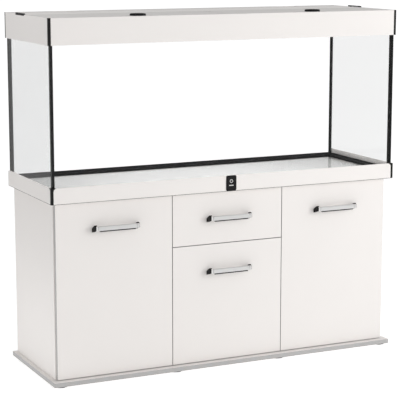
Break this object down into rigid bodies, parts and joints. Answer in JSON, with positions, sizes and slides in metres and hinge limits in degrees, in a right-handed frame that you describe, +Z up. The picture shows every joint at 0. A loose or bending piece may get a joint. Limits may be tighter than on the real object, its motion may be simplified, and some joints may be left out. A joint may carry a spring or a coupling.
{
  "type": "aquarium on stand",
  "caption": "Glass aquarium with a lift-off lamp hood and front flaps, on a white cabinet with doors, a drawer and bow handles.",
  "frame": {"origin": "floor level under the middle of the footprint", "axes": "+Z up, +X to the right along the length as seen from the front, and the front with its doors faces -Y"},
  "size_m": [1.512, 0.52, 1.425],
  "materials": {
    "rubber_pads": "matt",
    "white_board": "fine-textured white melamine",
    "drawer_grey": "smooth light grey",
    "steel_parts": "nickel plated",
    "runner_paint": "white stove enamel",
    "handle_silver": "matt anodised bar, on black legs",
    "foam": "white closed-cell foam",
    "tank_glass": "clear float glass",
    "silicone": "black silicone",
    "white_trim": "satin white",
    "black_trim": "fine-grained black",
    "reflector": "bright reflector",
    "lamp_tube": "opal tube"
  },
  "bodies": {
    "root": {"glides": "rubber_pads", "base_plate": "white_board", "left_side_panel": "white_board", "right_side_panel": "white_board", "partitions": "white_board", "top_board": "white_board", "drawer_shelf": "white_board", "back_panels": "white_board", "shelves": "white_board", "shelf_pins": "steel_parts", "assembly_screws": "steel_parts", "hinge_arms": "steel_parts", "cabinet_runners": "runner_paint", "door_bumpers": "rubber_pads", "foam_mat": "foam", "bottom_pane": "tank_glass", "front_pane": "tank_glass", "back_pane": "tank_glass", "left_pane": "tank_glass", "right_pane": "tank_glass", "corner_seams": "silicone", "bottom_seams": "silicone", "glass_braces": "tank_glass", "front_skirt": "white_trim", "back_skirt": "white_trim", "side_skirts": "white_trim", "skirt_corners": "black_trim", "badge": "black_trim"},
    "left_link": {"left_hinge_links": "steel_parts"},
    "left_door": {"left_door_panel": "white_board", "left_door_cups": "steel_parts", "left_handle": "handle_silver"},
    "centre_link": {"centre_hinge_links": "steel_parts"},
    "centre_door": {"centre_door_panel": "white_board", "centre_door_cups": "steel_parts", "centre_handle": "handle_silver"},
    "right_link": {"right_hinge_links": "steel_parts"},
    "right_door": {"right_door_panel": "white_board", "right_door_cups": "steel_parts", "right_handle": "handle_silver"},
    "drawer": {"drawer_front": "white_board", "drawer_box": "drawer_grey", "drawer_runners": "runner_paint", "drawer_handle": "handle_silver"},
    "hood": {"hood_front_rail": "white_trim", "hood_back_rail": "white_trim", "hood_side_rails": "white_trim", "hood_corners": "black_trim", "hood_rib": "white_trim", "hood_centre_bar": "white_trim", "hood_rear_strip": "white_trim", "flap_rod": "steel_parts", "lamp_housing": "reflector", "lamp_tubes": "lamp_tube", "lamp_sockets": "black_trim", "cable_outlets": "black_trim"},
    "left_lid": {"left_flap": "white_trim", "left_flap_pull": "black_trim"},
    "right_lid": {"right_flap": "white_trim", "right_flap_pull": "black_trim"}
  },
  "joints": [
    {"name": "left_link_pivot", "type": "hinge", "parent": "root", "child": "left_link", "pos_m": [-0.701, -0.202, 0], "axis": [0, 0, -1], "range_deg": [-40, 0]},
    {"name": "left_door_hinge", "type": "hinge", "parent": "left_link", "child": "left_door", "pos_m": [-0.721, -0.216, 0], "axis": [0, 0, -1], "range_deg": [0, 140]},
    {"name": "centre_link_pivot", "type": "hinge", "parent": "root", "child": "centre_link", "pos_m": [-0.21267, -0.202, 0], "axis": [0, 0, -1], "range_deg": [-40, 0]},
    {"name": "centre_door_hinge", "type": "hinge", "parent": "centre_link", "child": "centre_door", "pos_m": [-0.23267, -0.216, 0], "axis": [0, 0, -1], "range_deg": [0, 140]},
    {"name": "right_link_pivot", "type": "hinge", "parent": "root", "child": "right_link", "pos_m": [0.701, -0.202, 0], "axis": [0, 0, 1], "range_deg": [-40, 0]},
    {"name": "right_door_hinge", "type": "hinge", "parent": "right_link", "child": "right_door", "pos_m": [0.721, -0.216, 0], "axis": [0, 0, 1], "range_deg": [0, 140]},
    {"name": "drawer_slide", "type": "slide", "parent": "root", "child": "drawer", "axis": [0, -1, 0], "range_m": [0, 0.3]},
    {"name": "hood_lift", "type": "slide", "parent": "root", "child": "hood", "axis": [0, 0, 1], "range_m": [0, 0.25]},
    {"name": "left_lid_hinge", "type": "hinge", "parent": "hood", "child": "left_lid", "pos_m": [0, 0.012, 1.414], "axis": [-1, 0, 0], "range_deg": [0, 95]},
    {"name": "right_lid_hinge", "type": "hinge", "parent": "hood", "child": "right_lid", "pos_m": [0, 0.012, 1.414], "axis": [-1, 0, 0], "range_deg": [0, 95]}
  ],
  "couplings": [
    {"joint": "left_link_pivot", "follows": "left_door_hinge", "ratio": -0.28571},
    {"joint": "centre_link_pivot", "follows": "centre_door_hinge", "ratio": -0.28571},
    {"joint": "right_link_pivot", "follows": "right_door_hinge", "ratio": -0.28571}
  ]
}
